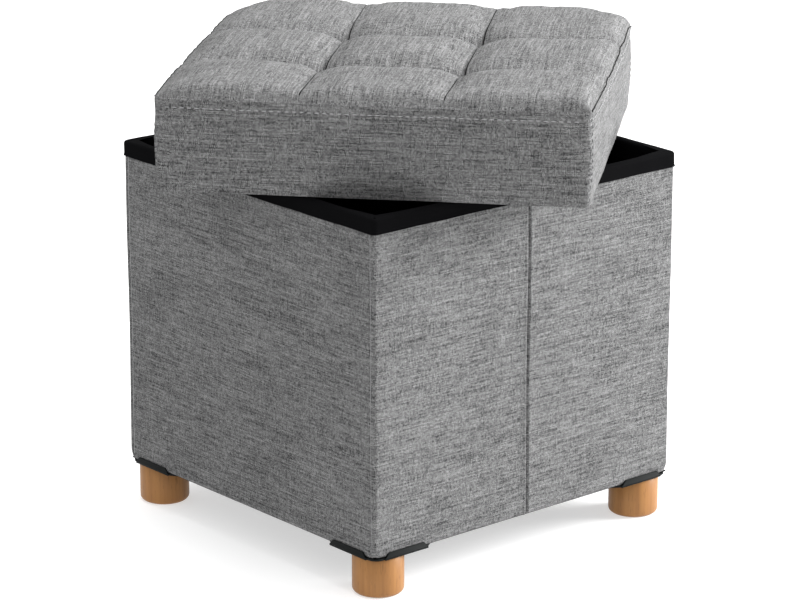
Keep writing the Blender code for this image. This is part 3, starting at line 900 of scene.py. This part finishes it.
def applied(obj):
    """The object's mesh with its modifiers applied; the object is removed."""
    graph = bpy.context.evaluated_depsgraph_get()
    mesh = bpy.data.meshes.new_from_object(obj.evaluated_get(graph))
    bpy.data.objects.remove(obj, do_unlink=True)
    return mesh


def stitch(bm, place, along, normal, length, radius):
    """One stitch: a short fat thread lying along a seam."""
    made = bmesh.ops.create_uvsphere(bm, u_segments=6, v_segments=4, radius=1.0)["verts"]
    across = normal.cross(along).normalized()
    turn = Matrix((along.normalized(), across, normal.normalized())).transposed().to_4x4()
    bmesh.ops.rotate(bm, verts=made, cent=(0, 0, 0), matrix=Matrix.Rotation(math.pi / 2, 3, "Y"))
    bmesh.ops.scale(bm, verts=made, vec=(length / 2, radius, radius))
    bmesh.ops.transform(bm, verts=made, matrix=Matrix.Translation(place) @ turn)


def thread(bm, points, radius):
    """Adds a round thread that follows the points."""
    curve = bpy.data.curves.new("thread", "CURVE")
    curve.dimensions = "3D"
    curve.bevel_depth = radius
    curve.bevel_resolution = 1
    curve.use_fill_caps = True
    spline = curve.splines.new("POLY")
    spline.points.add(len(points) - 1)
    for point, place in zip(spline.points, points):
        point.co = (*place, 1.0)
    bm.from_mesh(applied(in_scene("thread", curve)))


def seam_shade_threads(tree):
    """Dark threads that lie in the tufting seams and in the seam round the top. They are sewing thread,
    drawn black so that they also paint the shade in the seams as a dark line.
    """
    bm = bmesh.new()
    down = Vector((0, 0, -1))
    reach = LID_HALF - 0.0065
    steps = 96
    for side in (-1, 1):
        for axis in (0, 1):
            points = []
            for i in range(steps + 1):
                start = Vector((0, 0, 0.2))
                start[axis] = side * TUFT
                start[1 - axis] = reach * (2 * i / steps - 1)
                hit = tree.ray_cast(start, down)[0]
                if hit:
                    points.append(hit + Vector((0, 0, SLIT_DEPTH - THREAD_SUNK)))
            thread(bm, points, SEAM_SHADE_THREAD)
    for outward in (Vector((1, 0, 0)), Vector((-1, 0, 0)), Vector((0, 1, 0))):
        level = Vector((-outward.y, outward.x, 0))
        points = []
        for i in range(steps + 1):
            place = outward * LID_HALF + level * (LID_HALF - LID_CORNER) * (2 * i / steps - 1)
            start = place + outward * 0.1
            start.z = SEAM - soft_corner(place.x, place.y)
            hit = tree.ray_cast(start, -outward)[0]
            if hit:
                points.append(hit + outward * 0.0008)
        thread(bm, points, EDGE_SHADE_THREAD)
    return piece("lid_seam_shade_thread", bm, SEAM_SHADE_TWINE, "lid", place=LID_PLACE)


def lid_pieces():
    """The lid's cover with its threads and stitches."""
    bm = lid_cover()
    tree = BVHTree.FromBMesh(bm)
    # the black seam threads also paint the shade in the seams as a dark line
    seam_shade_threads(tree)
    cover = piece(
        "lid_cover", bm, LINEN_CLOTH, "lid",
        ("cushion_cover", "foam_pad", *(f"lid_band_{side}" for side in SIDES)),
        place=LID_PLACE, uv=cover_uv, sharp=180,
    )
    top_row, corners = bmesh.new(), bmesh.new()
    for turn in range(4):
        spin = Matrix.Rotation(turn * math.pi / 2, 3, "Z")
        inward, level = spin @ Vector((0, 1, 0)), spin @ Vector((1, 0, 0))
        count = int((2 * LID_HALF - 0.016) / STITCH_PITCH)
        for i in range(count):
            along = (i - (count - 1) / 2) * STITCH_PITCH
            start = level * along - inward * 0.3 + Vector((0, 0, SEAM - 0.0085))
            hit, normal, _, _ = tree.ray_cast(start, inward)
            if hit:
                stitch(top_row, hit + normal * 0.0001, level, normal, 0.0046, 0.00042)
    for x in (-1, 1):
        for y in (-1, 1):
            for i in range(13):
                start = Vector((x * 0.3, y * (LID_HALF - LID_CORNER - 0.001), 0.006 + i * 0.0062))
                hit, normal, _, _ = tree.ray_cast(start, Vector((-x, 0, 0)))
                if hit:
                    stitch(corners, hit + normal * 0.0002, Vector((0, 0, 1)), normal, 0.0036, 0.0004)
    piece("lid_top_stitching", top_row, STITCH_THREAD, "lid", place=LID_PLACE)
    piece("lid_corner_stitching", corners, DARK_THREAD, "lid", place=LID_PLACE)


# ---------------------------------------------------------------- small hardware and the pull tab
def eased(node, name, material, edge, body="box"):
    """A copy of a plain solid with its edges eased, as moulding or plating leaves them."""
    bm = bmesh.new()
    bm.from_mesh(frame["nodes"][node].data)
    bmesh.ops.remove_doubles(bm, verts=bm.verts, dist=1e-5)
    bmesh.ops.dissolve_limit(bm, angle_limit=math.radians(1), verts=bm.verts, edges=bm.edges)
    sharp = [e for e in bm.edges if len(e.link_faces) == 2 and e.calc_face_angle(0.0) > math.radians(32)]
    bevel(bm, sharp, edge, 2, clamp_overlap=True)
    bmesh.ops.triangulate(bm, faces=bm.faces)
    return piece(name, bm, material, body, (node,), sharp=35)


def webbing_loop():
    """The pull tab: a strip of woven webbing, sewn down at both ends, that stands up in a low loop."""
    low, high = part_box("pull_tab")
    middle, half_width, half_length = (low + high) / 2, (high.x - low.x) / 2, (high.y - low.y) / 2
    bm = bmesh.new()
    bmesh.ops.create_grid(bm, x_segments=12, y_segments=56, size=1.0)
    for vert in bm.verts:
        along = vert.co.y
        sewn = max(0.0, 1 - abs(along) / 0.62)
        rise = WEBBING_RISE * math.sin(math.pi / 2 * min(1.0, sewn / 0.8)) ** 2
        vert.co = Vector((vert.co.x * half_width, along * half_length * (1 - 0.03 * sewn), rise))
    bmesh.ops.recalc_face_normals(bm, faces=bm.faces)
    bmesh.ops.solidify(bm, geom=bm.faces[:], thickness=WEBBING_THICKNESS)
    rails = [e for e in bm.edges if len(e.link_faces) == 2 and e.calc_face_angle(0.0) > math.radians(60)]
    bevel(bm, rails, WEBBING_EASE, 2)
    lowest = min(v.co.z for v in bm.verts)
    place = Matrix.Translation((middle.x, middle.y, low.z - lowest))
    tab = piece("pull_tab_webbing", bm, WEBBING, "box", ("pull_tab",), place=place)
    stitches = bmesh.new()
    up = Vector((0, 0, 1))
    surface = low.z - lowest + 0.0001
    for end in (-1, 1):
        for along, across in ((0.90, None), (0.70, None), (None, -0.78), (None, 0.78)):
            for i in range(7):
                share = (i - 3) / 3.6
                if across is None:
                    place = Vector((share * 0.78 * half_width, end * along * half_length, 0))
                    run = Vector((1, 0, 0))
                else:
                    place = Vector((across * half_width, end * (0.80 + 0.11 * share) * half_length, 0))
                    run = Vector((0, 1, 0))
                place += Vector((middle.x, middle.y, surface))
                stitch(stitches, place, run, up, 0.0022, 0.0003)
    piece("pull_tab_stitching", stitches, STITCH_THREAD, "box")
    return tab


# ---------------------------------------------------------------- CAD nodes that stay
def finish_nodes():
    """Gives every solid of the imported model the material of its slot."""
    finishes = {
        "grey_linen": LINEN_CLOTH, "black_binding": BINDING_CLOTH, "black_nonwoven": LINING_CLOTH,
        "fibreboard": FIBREBOARD, "lined_board": LINING_CLOTH, "foam": FIBREBOARD, "beech": BEECH,
        "black_plastic": POLYPROPYLENE, "zinc_steel": ZINC_PLATE, "waxed_cord": DARK_THREAD,
    }
    slots = {row["node"]: row["material_slot"] for row in frame["record"]["subparts"]}
    for name, obj in frame["nodes"].items():
        obj.data.materials.clear()
        obj.data.materials.append(finishes[slots[name]])


add_camera()
add_floor()
add_lights()
finish_nodes()
corner_threads(box_cover())
rim_binding()
for corner in CORNERS:
    foot(corner)
lid_pieces()
for corner in CORNERS:
    eased(f"corner_bracket_{corner}", f"moulded_corner_{corner}", POLYPROPYLENE, 0.0005)
    eased(f"flange_nut_{corner}", f"plated_nut_{corner}", ZINC_PLATE, 0.0003)
    eased(f"tuft_washer_{corner}", f"plated_washer_{corner}", ZINC_PLATE, 0.0003, "lid")
webbing_loop()
